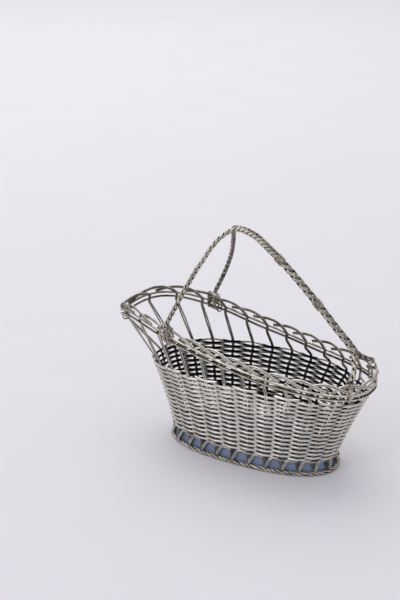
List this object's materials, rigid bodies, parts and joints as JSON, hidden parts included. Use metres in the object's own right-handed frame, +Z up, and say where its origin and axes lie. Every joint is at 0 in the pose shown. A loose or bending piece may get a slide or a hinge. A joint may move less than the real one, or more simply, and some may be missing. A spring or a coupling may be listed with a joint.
{
  "type": "wine bottle basket",
  "caption": "Oval woven-wire bottle cradle with a rim that climbs towards a dipped neck lip, a braided border, a laced foot and an arched twisted-wire handle.",
  "frame": {"origin": "on the surface the basket stands on, under the middle of the rim", "axes": "+X towards the low rear end, -X towards the raised neck end, +Y across to the far side, +Z up"},
  "size_m": [0.2608, 0.102, 0.2165],
  "materials": {
    "stake_wire": "drawn wire, tarnished silver plate",
    "woven_wire": "woven wire, worn silver plate",
    "hoop_wire": "drawn wire, rubbed silver plate with warm tarnish",
    "foot_wire": "laid wire, olive tarnish",
    "handle_rope": "twisted wire, olive tarnish",
    "tie_wire": "wound thin wire, tarnished silver plate",
    "pan_sheet": "sheet metal, dull slate blue"
  },
  "bodies": {
    "root": {"foot_ring": "foot_wire", "base_pan": "pan_sheet", "foot_lacing": "foot_wire", "stake_01": "stake_wire", "stake_02": "stake_wire", "stake_03": "stake_wire", "stake_04": "stake_wire", "stake_05": "stake_wire", "stake_06": "stake_wire", "stake_07": "stake_wire", "stake_08": "stake_wire", "stake_09": "stake_wire", "stake_10": "stake_wire", "stake_11": "stake_wire", "stake_12": "stake_wire", "stake_13": "stake_wire", "stake_14": "stake_wire", "stake_15": "stake_wire", "stake_16": "stake_wire", "stake_17": "stake_wire", "stake_18": "stake_wire", "stake_19": "stake_wire", "stake_20": "stake_wire", "stake_21": "stake_wire", "stake_22": "stake_wire", "stake_23": "stake_wire", "stake_24": "stake_wire", "stake_25": "stake_wire", "stake_26": "stake_wire", "woven_wall": "woven_wire", "upper_hoop": "hoop_wire", "lower_hoop": "hoop_wire", "lip_eye": "tie_wire", "near_rope": "handle_rope", "far_rope": "handle_rope", "near_neck_lashing": "tie_wire", "near_rear_lashing": "tie_wire", "far_neck_lashing": "tie_wire", "far_rear_lashing": "tie_wire", "upper_binding": "tie_wire", "lower_binding": "tie_wire"}
  },
  "joints": []
}
